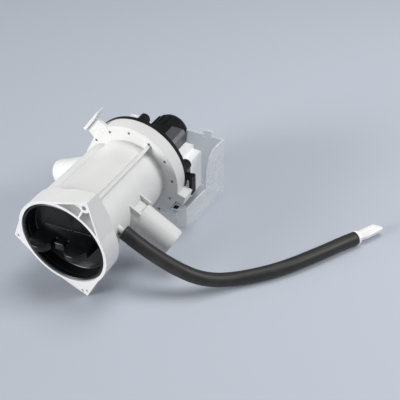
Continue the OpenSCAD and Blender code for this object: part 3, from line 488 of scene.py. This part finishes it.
# stacked silicon steel sheets: each cut edge catches the light, a darker oxide line lies between two sheets
sheetStack = {
    "colour": "#75787b", "roughness": 0.42, "metallic": 0.85,
    "pitchMm": 1.0,  # sheets are 0.5 mm and are drawn coarser to show
    "lines": ((0.0, "#3c3e40"), (0.35, "#787b7e")),
    "stain": "#6b6259", "stainMm": 6.0, "stainFrom": 0.55, "stainFull": 0.75, "stainMost": 0.25,
    "relief": 0.4,
}
siliconSteel, tree, shader, place = startMaterial("siliconSteel", sheetStack["colour"],
                                                  sheetStack["roughness"], metallic=sheetStack["metallic"])
sheets = addNode(tree, "ShaderNodeTexWave",
                 {"wave_type": "BANDS", "bands_direction": "Y", "wave_profile": "SAW",
                  "Scale": waveScale(sheetStack["pitchMm"]), "Distortion": 0.0},
                 {"Vector": place})
line = addNode(tree, "ShaderNodeValToRGB", {"stops": sheetStack["lines"]}, {"Fac": sheets.outputs["Fac"]})
rust = addNode(tree, "ShaderNodeTexNoise", {"Scale": perMetre(sheetStack["stainMm"]), "Detail": 5.0},
               {"Vector": place})
stain = addNode(tree, "ShaderNodeMapRange",
                {"From Min": sheetStack["stainFrom"], "From Max": sheetStack["stainFull"],
                 "To Min": 0.0, "To Max": sheetStack["stainMost"]},
                {"Value": rust.outputs["Fac"]})
aged = addNode(tree, "ShaderNodeMix", {"data_type": "RGBA", 7: linear(sheetStack["stain"])},
               {0: stain.outputs["Result"], 6: line.outputs["Color"]})
tree.links.new(aged.outputs[2], shader.inputs["Base Color"])
bump = addNode(tree, "ShaderNodeBump", {"Strength": sheetStack["relief"], "Distance": reliefDepth},
               {"Height": sheets.outputs["Fac"]})
tree.links.new(bump.outputs["Normal"], shader.inputs["Normal"])
print("metals ready")

# clear polypropylene of the splash cover: see-through with a milky haze, and more opaque at its edges as a
# painted edge highlight
coverHazeAndEdgeHighlight = {
    "colour": "#f6f9fd", "roughness": 0.2, "ior": 1.49,
    "wall": (0.27, 0.35), "hazeMm": 30.0,
    "edge": 0.85, "edgeMm": 1.0, "edgeSamples": 16, "edgeCosines": (0.995, 0.8),
}
clearCover, tree, shader, place = startMaterial("clearCover", coverHazeAndEdgeHighlight["colour"], coverHazeAndEdgeHighlight["roughness"],
                                                coverHazeAndEdgeHighlight["ior"])
haze = addNode(tree, "ShaderNodeTexNoise", {"Scale": perMetre(coverHazeAndEdgeHighlight["hazeMm"]), "Detail": 3.0},
               {"Vector": place})
# painted highlight: opacity is added near the cover's edges so that they show as whitish lines
edge = nearEdge(tree, coverHazeAndEdgeHighlight["edgeMm"], coverHazeAndEdgeHighlight["edgeSamples"], coverHazeAndEdgeHighlight["edgeCosines"],
                coverHazeAndEdgeHighlight["edge"])[1]
thinnest, thickest = coverHazeAndEdgeHighlight["wall"]
wall = addNode(tree, "ShaderNodeMapRange", {**noiseSpan, "To Min": thinnest, "To Max": thickest},
               {"Value": haze.outputs["Fac"]})
hazeAndPaintedEdge = addNode(tree, "ShaderNodeMath", {"operation": "ADD", "use_clamp": True},
                {0: edge, 1: wall.outputs["Result"]})
tree.links.new(hazeAndPaintedEdge.outputs["Value"], shader.inputs["Alpha"])
print("clear cover ready")


def dress(material, *names):
    for name in names:
        for slot in nodes[name].material_slots:
            slot.material = material


dress(polypropyleneWhite, "pump_casing")
dress(cageBlack, "filter_cage")
dress(epdmSeal, "filter_seal", "shaft_seal", "front_bush_mount", "rear_bush_mount")
dress(impellerGrey, "impeller")
dress(zincSteel, "rotor_shaft", "impeller_clip", "motor_screws")
dress(acetalCream, "drive_dog")
dress(ferriteGrey, "rotor_magnet")
dress(ptfeWhite, "thrust_washers")
dress(sinteredBronze, "front_bush", "rear_bush")
dress(siliconeGasket, "chamber_gasket")
dress(glassFilledBlack, "motor_plate")
dress(siliconSteel, "stator_core")
dress(polyamideWhite, "left_coil_case", "right_coil_case", "terminal_block")
dress(copperWire, "left_winding", "right_winding")
dress(tinnedBrass, "spade_terminals")
dress(clearCover, "splash_cover")
for piece, material in ((hosePlug, polyethyleneWhite), (hose, epdmHose), (filterCap, polypropyleneBlack),
                        (snapNib, glassFilledBlack)):
    piece.data.materials.append(material)
print("nodes and pieces dressed")


# pale floor and soft lamps: the main one in front on the left, one behind on the right and one above
studio = {
    "floor": "#b6bcc6",
    "floorRoughness": 0.75,
    "floorSize": 6.0,  # metres
    "floorCentre": (0.05, 0.05),
    "floorDrop": 0.1,  # mm, so that it shares no face with what lies on it
    "sky": 0.28,  # strength
    "skyColour": "#f4f6fa",
    "aim": (0.05, 0.08, 0.0),  # metres, where the lamps point
}
lamps = {  # place in metres, disk size in metres, watts
    "keyLight": ((-2.1, -2.65, 0.75), 1.75, 136.0),
    "fillLight": ((1.05, 0.55, 0.75), 0.5, 8.0),
    "topLight": ((0.1, 0.35, 1.3), 0.7, 7.5),
}
floorPlace = Matrix.Translation((*studio["floorCentre"], floorZ - studio["floorDrop"] * mm))
floorMesh = bmesh.new()
bmesh.ops.create_grid(floorMesh, x_segments=1, y_segments=1, size=studio["floorSize"] / 2, matrix=floorPlace)
floorData = bpy.data.meshes.new("studioFloor")
floorMesh.to_mesh(floorData)
floorMesh.free()
floor = bpy.data.objects.new("studioFloor", floorData)
scene.collection.objects.link(floor)
floorPaper = startMaterial("floorPaper", studio["floor"], studio["floorRoughness"])[0]
floorData.materials.append(floorPaper)

world = bpy.data.worlds.new("studioSky")
scene.world = world
world.use_nodes = True
sky = world.node_tree.nodes["Background"]
sky.inputs["Color"].default_value = linear(studio["skyColour"])
sky.inputs["Strength"].default_value = studio["sky"]

for name, (spot, size, power) in lamps.items():
    lamp = bpy.data.lights.new(name, "AREA")
    lamp.energy = power
    lamp.shape = "DISK"
    lamp.size = size
    lampObject = bpy.data.objects.new(name, lamp)
    lampObject.location = spot
    lampObject.rotation_mode = "QUATERNION"
    lampObject.rotation_quaternion = (Vector(studio["aim"]) - Vector(spot)).to_track_quat("-Z", "Y")
    scene.collection.objects.link(lampObject)
print("floor and light set")
